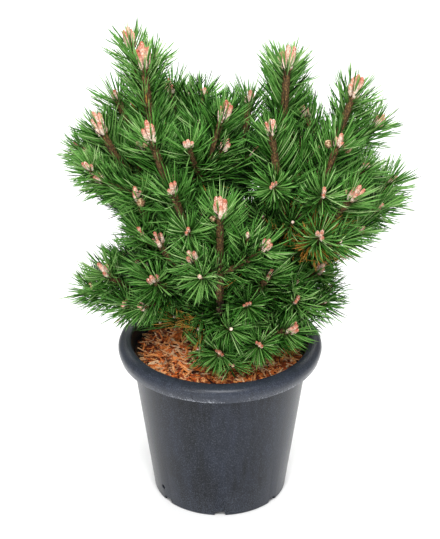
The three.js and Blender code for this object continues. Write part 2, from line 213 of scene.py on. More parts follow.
def ramp(tree, factor, *stops):
    """A colour ramp through (place, hex colour) stops."""
    colour = node(tree, "ShaderNodeValToRGB", "Color", {"Fac": factor})
    elements = colour.node.color_ramp.elements
    while len(elements) < len(stops):
        elements.new(0.5)
    for element, (place, code) in zip(elements, stops):
        element.position, element.color = place, paint(code)
    return colour


def blend(tree, factor, first, second, kind="MIX"):
    """Two colours mixed by a factor."""
    inputs = {0: factor, 6: first, 7: second}
    return node(tree, "ShaderNodeMix", 2, inputs, data_type="RGBA", blend_type=kind)


def times(tree, first, second):
    """Two colours multiplied."""
    return blend(tree, 1.0, first, second, "MULTIPLY")


def maths(tree, operation, *values):
    """A sum done on numbers or sockets."""
    return node(tree, "ShaderNodeMath", 0, dict(enumerate(values)), operation=operation)


def between(tree, value, low, high, **settings):
    """A value turned to 0 at `low` and 1 at `high`, and held beyond them."""
    inputs = {"Value": value, "From Min": low, "From Max": high}
    return node(tree, "ShaderNodeMapRange", "Result", inputs, **settings)


def from_mesh(tree, name):
    """The number of this name that a mesh carries on its points."""
    return node(tree, "ShaderNodeAttribute", "Fac", attribute_name=name)


def place_on(tree, stretch=(1, 1, 1)):
    """Object coordinates, stretched."""
    coordinates = node(tree, "ShaderNodeTexCoord", "Object")
    return node(tree, "ShaderNodeMapping", "Vector", {"Vector": coordinates, "Scale": stretch})


def cells(tree, scale, stretch=(1, 1, 1)):
    """How far a place is from the middle of its cell, in a pattern of cells."""
    inputs = {"Vector": place_on(tree, stretch), "Scale": scale}
    return node(tree, "ShaderNodeTexVoronoi", "Distance", inputs)


def bump(tree, height, distance, strength=1.0):
    """A normal from a height, in metres of depth."""
    inputs = {"Height": height, "Distance": distance, "Strength": strength}
    return node(tree, "ShaderNodeBump", "Normal", inputs)


def shader_socket(tree, key):
    """A socket of the Principled shader, named with _ for its spaces."""
    shader = next(n for n in tree.nodes if n.type == "BSDF_PRINCIPLED")
    return shader.inputs[key.replace("_", " ")]


def finish(name, **plain):
    """A new material and its nodes, with the shader's plain sockets set here."""
    material = bpy.data.materials.new(name)
    material.use_nodes = True
    for key, value in plain.items():
        shader_socket(material.node_tree, key).default_value = value
    return material, material.node_tree


def feed(tree, **sockets):
    """Links outputs to the sockets of a finish's shader."""
    for key, value in sockets.items():
        tree.links.new(value, shader_socket(tree, key))


# %% The shared effects, mottle and specks
def effect(name, output, **inputs):
    """An empty node group that takes a vector and numbers and gives one number."""
    group = bpy.data.node_groups.new(name, "ShaderNodeTree")
    group.interface.new_socket("Vector", in_out="INPUT", socket_type="NodeSocketVector")
    for key, value in inputs.items():
        socket = group.interface.new_socket(key, in_out="INPUT", socket_type="NodeSocketFloat")
        socket.default_value = value
    group.interface.new_socket(output, in_out="OUTPUT", socket_type="NodeSocketFloat")
    return group, group.nodes.new("NodeGroupInput").outputs, group.nodes.new("NodeGroupOutput").inputs


def cloud(group, given, scale, detail):
    """Noise at a scale of its own on a group's vector."""
    inputs = {"Vector": given["Vector"], "Scale": scale, "Detail": detail}
    return node(group, "ShaderNodeTexNoise", "Fac", inputs)


mottle, given, out = effect("mottle", "Value", Scale=40.0, Fineness=6.0, Mix=0.5)
coarse = cloud(mottle, given, given["Scale"], 3.0)
fine = cloud(mottle, given, maths(mottle, "MULTIPLY", given["Scale"], given["Fineness"]), 4.0)
both = node(mottle, "ShaderNodeMix", 0, {"Factor": given["Mix"], "A": coarse, "B": fine})
mottle.links.new(both, out["Value"])

# the patches' scale to the grains', a lift for both, and the threshold at no cover
PATCH_SCALE, LIFT, NO_COVER = 0.06, 0.25, 1.05
specks, given, out = effect("specks", "Mask", Scale=600.0, Coverage=0.2, Softness=0.1, Patchiness=0.5)
grains = cloud(specks, given, given["Scale"], 2.0)
patches = cloud(specks, given, maths(specks, "MULTIPLY", given["Scale"], PATCH_SCALE), 2.0)
swell = maths(specks, "SUBTRACT", patches, 0.5)
heaped = maths(specks, "ADD", grains, maths(specks, "MULTIPLY_ADD", swell, given["Patchiness"], LIFT))
threshold = maths(specks, "SUBTRACT", NO_COVER, given["Coverage"])
covered = maths(specks, "ADD", threshold, given["Softness"])
mask = between(specks, heaped, threshold, covered, interpolation_type="SMOOTHSTEP")
specks.links.new(mask, out["Mask"])
print("effects:", mottle.name, specks.name)


def mottled(tree, scale, fineness, mix=0.5, stretch=(1, 1, 1)):
    """The mottle, placed in a material."""
    inputs = {"Vector": place_on(tree, stretch), "Scale": scale, "Fineness": fineness, "Mix": mix}
    return node(tree, "ShaderNodeGroup", "Value", inputs, node_tree=mottle)


def speckled(tree, scale, coverage, softness, patchiness=0.5, stretch=(1, 1, 1)):
    """The specks, placed in a material."""
    inputs = {"Vector": place_on(tree, stretch), "Scale": scale, "Coverage": coverage}
    inputs |= {"Softness": softness, "Patchiness": patchiness}
    return node(tree, "ShaderNodeGroup", "Mask", inputs, node_tree=specks)


# %% [markdown]
# ## The pot
# A nursery pot is thin charcoal polypropylene. Its wall is a plain cone, its rim is rolled outwards into a
# hollow skirt that hands can grip, and its foot has notches that let water out. A lathe shape is a profile
# spun round an axis, so the profile is drawn once, its corners are rounded while they are still only points
# on a line, and one spin with its seam merged makes the shell. The notches are then cut out.


# %% Pot profile, spun
UPRIGHT = dict(cent=(0, 0, 0), axis=(0, 0, 1))  # what every spin goes round


def spun(outline, steps, rounding=()):
    """A lathe body. rounding: (radius, height, width, segments) corners to round before the spin."""
    bm = bmesh.new()
    line = [bm.verts.new((radius, 0, z)) for radius, z in outline]
    for i in range(len(line)):
        bm.edges.new((line[i - 1], line[i]))
    for radius, z, width, segments in rounding:
        corner = [min(bm.verts, key=lambda v: (v.co - Vector((radius, 0, z))).length)]
        how = dict(offset=width, segments=segments, profile=0.5, affect="VERTICES", material=-1)
        bmesh.ops.bevel(bm, geom=corner, **how)
    line = bm.verts[:] + bm.edges[:]
    bmesh.ops.spin(bm, geom=line, **UPRIGHT, angle=math.tau, steps=steps, use_merge=True)
    bmesh.ops.remove_doubles(bm, verts=bm.verts, dist=1e-4)
    loose = [e for e in bm.edges if not e.link_faces]
    bmesh.ops.delete(bm, geom=loose, context="EDGES")
    bmesh.ops.recalc_face_normals(bm, faces=bm.faces)
    return bm


height, rim, skirt, pot_floor = POT["height"], POT["rim"], POT["skirt"], POT["floor"]
under_rim = height - POT["wall"]
mid_wall, widest, turned = 120, height - 12, height - 3.5  # heights: on the wall, and on the rim
rim_top, lip_top, skirt_inside = rim - 11, POT["lip"] + 2, skirt - 2.8  # radii
pot_outline = [
    (0, 0),
    (POT["foot"] - 2, 0),
    (pot_radius(2), 2),
    (pot_radius(mid_wall), mid_wall),
    (pot_radius(under_rim - 5), under_rim - 5),
    (rim - 9, under_rim - 1.5),
    (rim - 3.2, widest),
    (skirt_inside, skirt_level),
    (skirt, skirt_level),
    (rim, widest),
    (rim - 3, turned),
    (rim_top, height),
    (lip_top, height),
    (inside_radius(widest), widest),
    (inside_radius(mid_wall), mid_wall),
    (inside_radius(pot_floor), pot_floor),
    (0, pot_floor),
]
rounded_corners = [
    (rim - 3, turned, 4.1, 6),
    (rim_top, height, 4.3, 6),
    (lip_top, height, 3.0, 4),
    (rim, widest, 4.0, 4),
    (skirt, skirt_level, 0.7, 2),
    (skirt_inside, skirt_level, 0.7, 2),
    (pot_radius(2), 2, 1.0, 2),
]
pot_bm = spun(pot_outline, POT["steps"], rounded_corners)
print("pot shell:", len(pot_bm.faces), "faces")


# %% Drain notches and the drain hole in the wall
def cutters():
    """The notches' prisms, and the peg that drills one hole in the wall, as one bmesh."""
    bm = bmesh.new()
    mouth, top, high = NOTCH["mouth"] / 2, NOTCH["top"] / 2, NOTCH["height"]
    below, before = -2, 6  # how far a prism starts under the foot and before the wall
    outline = [(-mouth, below), (mouth, below), (top, high), (-top, high)]
    face = bm.faces.new([bm.verts.new((x, -(POT["foot"] + before), z)) for x, z in outline])
    grown = bmesh.ops.extrude_face_region(bm, geom=[face])
    moved = [v for v in grown["geom"] if isinstance(v, bmesh.types.BMVert)]
    bmesh.ops.translate(bm, verts=moved, vec=(0, before + NOTCH["depth"], 0))
    bmesh.ops.recalc_face_normals(bm, faces=bm.faces)
    more = NOTCH["count"] - 1
    around = dict(angle=math.tau * more / NOTCH["count"], steps=more, use_duplicate=True)
    bmesh.ops.spin(bm, geom=bm.faces[:] + bm.edges[:] + bm.verts[:], **UPRIGHT, **around)
    upright = Matrix.Rotation(math.radians(HOLE["turn"]), 4, "Z")
    upright @= Matrix.Translation((pot_radius(HOLE["height"]), 0, HOLE["height"]))
    level_peg = upright @ Matrix.Rotation(math.pi / 2, 4, "Y")
    peg = dict(segments=16, radius1=HOLE["radius"], radius2=HOLE["radius"], depth=14)
    bmesh.ops.create_cone(bm, cap_ends=True, **peg, matrix=level_peg)
    return bm


def mesh_of(bm, name):
    """A bmesh in millimetres as a mesh in metres."""
    bmesh.ops.scale(bm, vec=(MM,) * 3, verts=bm.verts)
    mesh = bpy.data.meshes.new(name)
    bm.to_mesh(mesh)
    bm.free()
    return mesh


def cut(body, tool, name):
    """The body with the tool taken out of it, as one finished mesh."""
    things = [bpy.data.objects.new(mesh.name, mesh) for mesh in (body, tool)]
    for thing in things:
        bpy.context.scene.collection.objects.link(thing)
    carve = things[0].modifiers.new("carve", "BOOLEAN")
    carve.object, carve.operation, carve.solver = things[1], "DIFFERENCE", "EXACT"
    graph = bpy.context.evaluated_depsgraph_get()
    mesh = bpy.data.meshes.new_from_object(things[0].evaluated_get(graph))
    mesh.name = name
    for thing in things:
        bpy.data.objects.remove(thing)
    return mesh


pot_mesh = cut(mesh_of(pot_bm, "shell"), mesh_of(cutters(), "cutters"), "pot_shell")
smooth(pot_mesh, 32)
print("pot with notches:", len(pot_mesh.polygons), "faces")

# %% [markdown]
# ## The pot's plastic
# Moulded polypropylene has a satin skin with a faint orange peel. Handling leaves fine pale dust in it, with
# more pale specks towards the foot, water runs down it in faint upright streaks, and stacked pots scuff each
# other along the rim, so the scuffs are kept to the rim's band of heights. The streaks also paint sheen into
# the colour, as lighter and darker upright bands, and the whole rim is painted lighter, as light from above
# falls on it. Dust is rougher than plastic, so the dust mask drives roughness too.

# %% Pot plastic
RIM_BAND = [(skirt_level + up) * MM for up in (-1, 1, 11)]  # where it starts, is most scuffed, and isn't
FOOT_SPECKS = dict(band=0.07, more=0.07, least=0.29)  # a band's height in metres, and shares of cover
pot_plastic, tree = finish("pot_plastic", Roughness=0.42, Specular_IOR_Level=0.24)
# painted sheen: the upright streaks are partly water streaks and partly lighter and darker sheen bands in the
# colour
streaks_and_sheen = mottled(tree, 14.0, 7.0, stretch=(1, 1, 0.12))
body_colour = ramp(tree, streaks_and_sheen, (0.38, "0b0e13"), (0.64, "1d222d"))
level = node(tree, "ShaderNodeSeparateXYZ", "Z", {"Vector": place_on(tree)})
# the specks grow denser towards the foot, so the wall is paler there
near_foot = between(tree, level, FOOT_SPECKS["band"], 0.0)
foot_cover = maths(tree, "MULTIPLY_ADD", near_foot, FOOT_SPECKS["more"], FOOT_SPECKS["least"])
dust = speckled(tree, 820.0, foot_cover, 0.18, patchiness=0.1)
rim_band = between(tree, level, RIM_BAND[2], RIM_BAND[1])
on_rim = maths(tree, "GREATER_THAN", level, RIM_BAND[0])
# painted light: everything above the skirt's edge is made a tenth paler, as light from above falls on the
# rim; the dust adds pale specks everywhere
dust_and_rim_light = maths(tree, "MULTIPLY_ADD", on_rim, 0.1, maths(tree, "MULTIPLY", dust, 0.3))
dusty_and_rim_lit = blend(tree, dust_and_rim_light, body_colour, paint("6f7686"))
scuffs = speckled(tree, 420.0, 0.26, 0.16, stretch=(1, 1, 1.4))
scuffed = maths(tree, "MULTIPLY", scuffs, maths(tree, "MULTIPLY", rim_band, on_rim))
worn_and_lit = blend(tree, maths(tree, "MULTIPLY", scuffed, 0.6), dusty_and_rim_lit, paint("b3b7c0"))
satin = maths(tree, "MULTIPLY_ADD", streaks_and_sheen, 0.16, 0.22)
rough = maths(tree, "ADD", maths(tree, "MULTIPLY", dust, 0.2), satin)
peel = mottled(tree, 300.0, 3.0, 0.4)
feed(tree, Base_Color=worn_and_lit, Roughness=rough, Normal=bump(tree, peel, 0.0005, 0.5))
show(pot_mesh, pot_plastic, replaces=["pot"])

# %% [markdown]
# ## The mulch
# Under the shreds lies a bed of finer, darker crumbs, which mounds a little towards the trunk and sinks at
# the wall. It is a lathe body too, whose top is then pushed up and down: the slow swells are the solid's own
# and the small lumps are noise. The shreds that lie on it are copies of a few shards, each a box whose ends
# are drawn in and whose points are shaken, in four sorts from slab to fibre.


# %% Mulch bed
def mulch_top(x, y):
    """Height of the mulch, by the same rule as the solid."""
    edge = inside_radius(MULCH["edge_top"])
    out = min(1, math.hypot(x, y) / edge)
    mound = MULCH["edge_top"] + (MULCH["crown"] - MULCH["edge_top"]) * math.cos(out * math.pi / 2)
    lumps = math.sin(x * 0.09 + 1.3) * math.cos(y * 0.11 - 0.4) + 0.6 * math.sin((x - y) * 0.16)
    return mound + MULCH["lump"] * lumps * math.sin(out * math.pi)


edge_radius = inside_radius(MULCH["edge_top"]) - 0.7
bed_foot = pot_floor + 1
bed_outline = [(0, bed_foot), (inside_radius(bed_foot) - 1, bed_foot)]
bed_outline += [(radius, MULCH["edge_top"]) for radius in np.linspace(edge_radius, 0, 48)]
bed_bm = spun(bed_outline, 150)
for point in bed_bm.verts:
    if point.co.z > MULCH["edge_top"] - 1:
        crumbs = noise.fractal(point.co / MULCH["crumb"], 0.8, 2.1, 4) * MULCH["relief"] - MULCH["sink"]
        point.co.z = mulch_top(point.co.x, point.co.y) + crumbs
bed_mesh = mesh_of(bed_bm, "mulch_bed")
smooth(bed_mesh, 60)

# %% Mulch bed finish
bed_finish, tree = finish("mulch_crumbs", Roughness=0.95)
crumble = mottled(tree, 150.0, 5.0)
bed_colour = ramp(tree, crumble, (0.3, "120a06"), (0.52, "38200f"), (0.7, "7d4822"))
feed(tree, Base_Color=bed_colour, Normal=bump(tree, crumble, 0.002))
show(bed_mesh, bed_finish, replaces=["bark_mulch"])


# %% Shards of shredded bark
def shard(seed, width, thickness):
    """A splinter one unit long on X: a box drawn in at both ends, with its points shaken."""
    bm = bmesh.new()
    bmesh.ops.create_cube(bm, size=1)
    sliced(bm, (-0.22, 0.2), (1, 0, 0))
    bmesh.ops.scale(bm, vec=(1, width, thickness), verts=bm.verts)
    ends = [v for v in bm.verts if abs(v.co.x) > 0.4]
    bmesh.ops.scale(bm, vec=(1, 0.45, 0.6), verts=ends)
    for v in bm.verts:
        shake = noise.noise_vector(Vector((v.co.x * 3 + seed, v.co.y * 40, v.co.z * 40)))
        curl = v.co.x**2 * 0.12
        v.co += Vector((shake.x * 0.08, shake.y * width * 0.4, shake.z * thickness * 0.5 + curl))
    return template(bm)


random = np.random.default_rng(41)
SHREDS = [  # width and thickness for each unit of length, shortest and longest in mm, how many
    (0.3, 0.13, 9, 19, 420),
    (0.19, 0.1, 14, 27, 640),
    (0.1, 0.07, 16, 34, 1000),
    (0.06, 0.05, 14, 38, 1300),
]
STREWN = dict(pitch=0.34, roll=0.7, sunk=-2.5, proud=6.0)  # in radians, and mm under and over the bed's top
bed_edge = edge_radius - 1.5
shred_meshes = []
for index, (width, thickness, shortest, longest, count) in enumerate(SHREDS):
    lengths = random.uniform(shortest, longest, count)
    yaw = random.uniform(0, math.tau, count)
    pitch = random.normal(0, STREWN["pitch"], count)
    roll = random.normal(0, STREWN["roll"], count)
    along = np.stack([np.cos(yaw) * np.cos(pitch), np.sin(yaw) * np.cos(pitch), np.sin(pitch)], 1)
    flat = np.stack([-np.sin(yaw), np.cos(yaw), np.zeros(count)], 1)
    up = np.cross(along, flat)
    side = flat * np.cos(roll)[:, None] + up * np.sin(roll)[:, None]
    up = np.cross(along, side)
    # a shred lies where both its ends are still inside the wall
    room = bed_edge - lengths * 0.52 * np.abs(random.uniform(0.75, 1, count))
    radius = np.sqrt(random.uniform(0.02, 1, count)) * room
    turn = random.uniform(0, math.tau, count)
    x, y = radius * np.cos(turn), radius * np.sin(turn)
    z = [mulch_top(a, b) for a, b in zip(x, y)] + random.uniform(STREWN["sunk"], STREWN["proud"], count)
    axes = np.stack([along, side, up], 1) * lengths[:, None, None]
    tones = {"tone": random.uniform(0, 1, count)}
    splinter = shard(index * 7.3, width, thickness)
    shreds = planted(f"mulch_shreds_{index + 1}", splinter, np.stack([x, y, z], 1), axes, tones)
    smooth(shreds, 40)
    shred_meshes.append(shreds)
print("shreds:", [len(mesh.polygons) for mesh in shred_meshes], "faces")

# %% [markdown]
# ## The shreds' finish
# Fresh softwood shreds are orange, weathered ones are brown to grey, and each shred is one tone nearly all
# over. So every copy carries a number, its tone, which a colour ramp turns into one of the bark's colours,
# while stretched noise draws the fibres on it and a slow one darker patches.

# %% Shreds finish
BARK_TONES = [(0.0, "3a1404"), (0.2, "a84416"), (0.42, "f8883a")]
BARK_TONES += [(0.66, "ffac66"), (0.85, "ffca96"), (1.0, "ffd6ac")]
shred_finish, tree = finish("bark_shreds", Roughness=0.85)
shred_colour = ramp(tree, from_mesh(tree, "tone"), *BARK_TONES)
fibres = mottled(tree, 320.0, 4.0, 0.6)
shade = ramp(tree, fibres, (0.28, "9a9a9a"), (0.56, "ffffff"))
dark_patches = ramp(tree, mottled(tree, 26.0, 5.0, 0.4), (0.36, "684a3a"), (0.46, "ffffff"))
shaded = times(tree, times(tree, shred_colour, shade), dark_patches)
feed(tree, Base_Color=shaded, Normal=bump(tree, fibres, 0.0008))
for shreds in shred_meshes:
    show(shreds, shred_finish)

# %% [markdown]
# ## How the pine grows
# The solids come from a table of boughs and a seeded rule, and the same table and rule stand here, so that
# every limb and shoot lies inside the solid that it replaces. A bough leaves its parent's middle, swings
# outwards and turns up into its leading shoot, and a whorl of side shoots stands round that shoot. The
# seeded numbers are made by the same small generator, digit for digit, so the two plants are one.


# %% The seeded numbers and the paths
def seeded_random(seed):
    """The generator that the solids were grown with."""
    word = 0xFFFFFFFF
    state = seed & word

    def number():
        nonlocal state
        state = (state + 0x6D2B79F5) & word
        mixed = ((state ^ (state >> 15)) * (state | 1)) & word
        mixed ^= (mixed + ((mixed ^ (mixed >> 7)) * (mixed | 61))) & word
        return ((mixed ^ (mixed >> 14)) & word) / 2**32

    return number


UP = np.array([0.0, 0.0, 1.0])


def unit(vector):
    return vector / np.linalg.norm(vector, axis=-1, keepdims=True)


class Path:
    """A Bezier curve through the air, walked by shares of its length."""

    steps = np.linspace(0, 1, 201)

    def __init__(self, *controls):
        self.controls = np.array(controls, float)
        pieces = np.linalg.norm(np.diff(self.bezier(self.steps), axis=0), axis=1)
        self.length = pieces.sum()
        self.walked = np.append(0, np.cumsum(pieces)) / self.length

    def bezier(self, t):
        t = np.asarray(t, float)[..., None]
        last = len(self.controls) - 1
        return sum(
            math.comb(last, k) * t**k * (1 - t) ** (last - k) * point for k, point in enumerate(self.controls)
        )

    def at(self, share):
        return self.bezier(np.interp(share, self.walked, self.steps))

    def heading(self, share):
        share = np.asarray(share, float)
        return unit(self.at(np.minimum(share + 0.005, 1)) - self.at(np.maximum(share - 0.005, 0)))


def leaning(lean, heading):
    """A unit vector that leans by `lean` degrees from upright, towards `heading`."""
    side, turn = math.sin(math.radians(lean)), math.radians(heading)
    return np.array([side * math.cos(turn), side * math.sin(turn), math.cos(math.radians(lean))])


def across(axis):
    """Two unit vectors square to an axis, or to each of many, and to each other."""
    steep = (np.abs(axis[..., 2]) >= 0.9)[..., None]
    first = unit(np.cross(axis, np.where(steep, np.array([1.0, 0, 0]), UP)))
    return first, np.cross(axis, first)


def tilted(axis, angle, turn):
    """An axis tilted by `angle` towards the direction `turn` round it, in radians."""
    first, second = across(axis)
    angle, turn = np.asarray(angle)[..., None], np.asarray(turn)[..., None]
    return axis * np.cos(angle) + np.sin(angle) * (first * np.cos(turn) + second * np.sin(turn))


print("first seeded number:", round(seeded_random(100)(), 6))

# %% The table of boughs
SHOOT = dict(length=112, stem=46, splay=46, side_length=0.82, upturn=0.42)
LEAN = dict(widest=260, outward=1.1, lowest=250, span=450, least=0.15, upward=1.6, power=1.3)
BOUGH = dict(tip=5.4, growth=3.4, of_parent=0.86, taper=0.8)
SWING = dict(level=0.35, parent=0.45, start=0.36, end=0.34)  # how a bough leaves its parent and ends


def bough(place, parent, share, heading, reach, height, sides, turn, **own):
    """share: how far along its parent it starts. heading: degrees from +X. reach and height: of its buds."""
    usual = dict(size=1, splay=SHOOT["splay"], side_length=SHOOT["side_length"], lean=None)
    row = dict(place=place, parent=parent, share=share, heading=heading, reach=reach, height=height)
    return {**row, "sides": sides, "turn": turn, **usual, **own}


BOUGHS = [
    bough("leader_left", "trunk", 1, -171, 114, 741, 1, 45, lean=(6, 180), splay=15, side_length=1.14),
    bough("leader_right", "trunk", 0.93, -8, 101, 739, 1, 0, lean=(3, 20), splay=33, side_length=0.9),
    bough("left_shoulder", "trunk", 0.84, 180, 179, 628, 4, 320, splay=44, side_length=1.0),
    bough("right_shoulder", "trunk", 0.8, 0, 200, 688, 2, 275, lean=(17, 0), splay=56, side_length=0.7),
    bough("centre_front", "trunk", 0.72, -90, 160, 565, 3, 5, lean=(12, -90), splay=50),
    bough("far_right", "trunk", 0.62, 4, 265, 536, 4, 20, lean=(50, 0), splay=30),
    bough("back", "trunk", 0.7, 92, 215, 540, 4, 0, side_length=0.72),
    bough("low_left", "trunk", 0.42, -163, 182, 414, 4, 55, lean=(45, -140), splay=32),
    bough("low_right", "trunk", 0.46, -20, 160, 420, 4, 30, lean=(46, -30), splay=38, side_length=0.9),
    bough("low_front", "trunk", 0.26, -90, 128, 316, 3, 0, lean=(64, -95), size=0.6),
    bough("low_back_left", "trunk", 0.38, 127, 200, 400, 4, 45, splay=64, side_length=0.92),
    bough("low_back_right", "trunk", 0.5, 48, 205, 395, 4, 30),
    bough("high_back_left", "leader_left", 0.42, 157, 172, 655, 3, 355, splay=58),
    bough("top_back_left", "leader_left", 0.55, 135, 108, 664, 3, 120, splay=30, side_length=0.95),
    bough("high_left", "leader_left", 0.3, -140, 132, 652, 2, 95, splay=64, side_length=0.92),
    bough("centre_high", "leader_right", 0.38, -86, 44, 668, 3, 260, lean=(16, 0)),
    bough("top_back_right", "leader_right", 0.5, 60, 91, 646, 3, 255, splay=40, side_length=0.92),
    bough("inner_right", "leader_right", 0.26, -42, 103, 655, 3, 165, lean=(8, 180), splay=64, size=0.85),
    bough("mid_left", "left_shoulder", 0.4, -146, 148, 557, 3, 30,
          lean=(22, -142), splay=34, side_length=0.72),
    bough("centre_left", "centre_front", 0.38, -118, 145, 585, 2, 120),
    bough("front_right", "right_shoulder", 0.36, -20, 186, 632, 3, 305,
          lean=(20, -20), splay=52, side_length=0.92),
    bough("mid_right", "far_right", 0.45, -25, 216, 560, 3, 0),
    bough("inner_left", "low_left", 0.42, -129, 142, 494, 3, 60, lean=(30, -150), size=0.8),
    bough("low_left_front", "trunk", 0.36, -127, 163, 441, 3, 75, lean=(55, -110), splay=52, size=0.8),
    bough("low_right_front", "trunk", 0.34, -49, 161, 352, 3, 30, size=0.75),
    bough("inner_front_right", "trunk", 0.56, -59, 142, 446, 3, 30, size=0.85),
    bough("back_left", "low_back_left", 0.45, 140, 200, 515, 3, 80, splay=38),
    bough("back_right", "low_back_right", 0.45, 36, 228, 548, 3, 0),
]
print("boughs:", len(BOUGHS))


# %% Trunk and boughs as paths
def trunk_radius(along):
    flare = np.maximum(0, 1 - along * TRUNK["height"] / TRUNK["flare"])
    straight = TRUNK["waist"] + (TRUNK["top"] - TRUNK["waist"]) * along
    return straight + (TRUNK["foot_radius"] - TRUNK["waist"]) * flare**2


def shoot_direction(row):
    """Which way the leading shoot of a bough points: outwards with reach, upright with height."""
    if row["lean"]:
        return leaning(*row["lean"])
    outward = LEAN["outward"] * row["reach"] / LEAN["widest"]
    risen = (row["height"] - LEAN["lowest"]) / LEAN["span"]
    upward = LEAN["least"] + LEAN["upward"] * risen ** LEAN["power"]
    return leaning(math.degrees(math.atan2(outward, upward)), row["heading"])


def carried(place):
    """How many boughs spring from this one, at any remove."""
    return sum(1 + carried(row["place"]) for row in BOUGHS if row["parent"] == place)


def grow_bough(row, limbs):
    """One bough's path, thickness and ends, from its row and its parent."""
    parent = limbs[row["parent"]]
    start = parent["path"].at(row["share"])
    direction = shoot_direction(row)
    turn = math.radians(row["heading"])
    buds = np.array([row["reach"] * math.cos(turn), row["reach"] * math.sin(turn), row["height"]])
    whorl = buds - direction * SHOOT["length"] * row["size"]
    end = whorl - direction * SHOOT["stem"] * row["size"]
    span = np.linalg.norm(end - start)
    outwards = unit((end - start) * (1, 1, SWING["level"]))
    leave = unit(outwards + SWING["parent"] * parent["path"].heading(row["share"]))
    bends = start + leave * span * SWING["start"], end - direction * span * SWING["end"]
    by_load = BOUGH["tip"] + BOUGH["growth"] * math.sqrt(1 + carried(row["place"]))
    thickest = min(by_load, float(parent["radius"](row["share"])) * BOUGH["of_parent"])

    def radius(along):
        return thickest + (BOUGH["tip"] - thickest) * np.asarray(along, float) ** BOUGH["taper"]

    path = Path(start, *bends, end)
    return dict(row=row, path=path, radius=radius, buds=buds, whorl=whorl, end=end, direction=direction)


foot = np.array([0, 0, TRUNK["foot"]])
fork = np.array([*TRUNK["lean"], TRUNK["foot"] + TRUNK["height"]])
limbs = {"trunk": dict(path=Path(foot, (0, 0, (foot[2] + fork[2]) / 2), fork), radius=trunk_radius)}
for row in BOUGHS:
    limbs[row["place"]] = grow_bough(row, limbs)
boughs = [limbs[row["place"]] for row in BOUGHS]
print("wood:", round(sum(limb["path"].length for limb in limbs.values())), "mm of trunk and boughs")

# %% [markdown]
# ## Bark
# Pine bark breaks into scales as the wood under it thickens: coarse plates on the trunk, small scales on the
# boughs. A limb here is one ring of points extruded along its path, ring after ring, and closed at both ends.
# Its points are then pushed out or in by a pattern of cells, so the plates are real relief that changes the
# outline, and how deep each point lies is kept for the colour: cracks are dark, plates are grey-brown.


# %% Limbs, ring by ring
def limb_mesh(bm, limb, sides, pitch):
    """A closed tube along a limb's path: a disc at its start, extruded ring by ring."""
    path = limb["path"]
    rings = max(4, round(path.length / pitch))
    shares = np.linspace(0, 1, rings + 1)
    radii = limb["radius"](shares)
    first = across(path.heading(shares)[0])[0]
    made = bmesh.ops.create_circle(bm, cap_ends=True, segments=sides, radius=1)
    face = made["verts"][0].link_faces[0]
    before = Matrix.Identity(4)
    for k, (centre, axis) in enumerate(zip(path.at(shares), path.heading(shares))):
        if k:
            first = unit(first - axis * np.dot(first, axis))  # turns with the path and never flips
            grown = bmesh.ops.extrude_face_region(bm, geom=[face])["geom"]
            if k > 1:
                bmesh.ops.delete(bm, geom=[face], context="FACES_ONLY")
            face = next(g for g in grown if isinstance(g, bmesh.types.BMFace))
        columns = first * radii[k], np.cross(axis, first) * radii[k], axis, centre
        here = Matrix([*zip(*columns), (0, 0, 0, 1)])
        bmesh.ops.transform(bm, matrix=here @ before.inverted(), verts=face.verts)
        before = here


def bark_depth(point, plate, seed):
    """0 in a crack to 1 on a plate, at a point in mm, for plates of this size."""
    place = Vector((point.x / plate, point.y / plate, point.z / (plate * 1.9))) + Vector((seed,) * 3)
    place += 0.35 * noise.noise_vector(place * 1.7)
    nearest, next_nearest = noise.voronoi(place)[0][:2]
    return min(1.0, (next_nearest - nearest) * 2.6)


def barked(name, grown, plate, relief, seed):
    """The limbs' mesh with its plates in relief, and the depth kept as an attribute."""
    bmesh.ops.recalc_face_normals(grown, faces=grown.faces)
    grown.normal_update()
    layer = grown.verts.layers.float.new("plate")
    pushed = []
    for v in grown.verts:
        depth = bark_depth(v.co, plate, seed)
        rugged = noise.noise(v.co / (plate * 0.45)) * 0.3
        v[layer] = depth
        pushed.append(v.co + v.normal * relief * (depth - 0.55 + rugged))
    for v, co in zip(grown.verts, pushed):
        v.co = co
    mesh = mesh_of(grown, name)
    smooth(mesh, 60)
    return mesh


trunk_bm = bmesh.new()
limb_mesh(trunk_bm, limbs["trunk"], sides=56, pitch=2.0)
trunk_mesh = barked("trunk_bark", trunk_bm, plate=9.0, relief=2.6, seed=3.0)
bough_bm = bmesh.new()
for limb in boughs:
    limb_mesh(bough_bm, limb, sides=14, pitch=4.2)
bough_mesh = barked("bough_bark", bough_bm, plate=5.0, relief=1.1, seed=11.0)

# %% Bark finish
bark_finish, tree = finish("pine_bark", Roughness=0.9)
lichen = mottled(tree, 90.0, 7.0, 0.45)
plates = ramp(tree, lichen, (0.3, "382a1c"), (0.5, "5a4430"), (0.7, "7e6850"))
cracks = ramp(tree, from_mesh(tree, "plate"), (0.0, "38231a"), (0.35, "c9c2ba"), (1.0, "ffffff"))
feed(tree, Base_Color=times(tree, plates, cracks), Normal=bump(tree, lichen, 0.0012))
show(trunk_mesh, bark_finish, replaces=["trunk"])
show(bough_mesh, bark_finish, replaces=[f"bough_{row['place']}" for row in BOUGHS])

# %% [markdown]
# ## Shoots
# A shoot is one season's growth: a stem that sets out from the wood and turns up towards the light. The
# source's rule gives each bough its leader and its whorl of side shoots. Here it is carried two steps
# further inside the same reach: a short twig on each side shoot, and a spiral of short twigs along the
# bough's own wood, which fill the mass as they do on the plant.


# %% The shoots, by the source's rule and two steps on
def shoot_path(start, direction, length, upturn=SHOOT["upturn"]):
    """A stem that bends upwards half way along."""
    bend = start + direction * length / 2
    return Path(start, bend, bend + unit(direction + UP * upturn) * length / 2)


def shoot_on(path, order, number, row):
    """order: 0 for a leader, 1 for a side shoot, 2 and 3 for the twigs on side shoots and on wood."""
    return dict(path=path, order=order, spin=number() * math.tau, row=row)


STRAY = dict(turn=34, splay=16, length=0.24, root=7)  # the range of chance in a side shoot, as in the solids


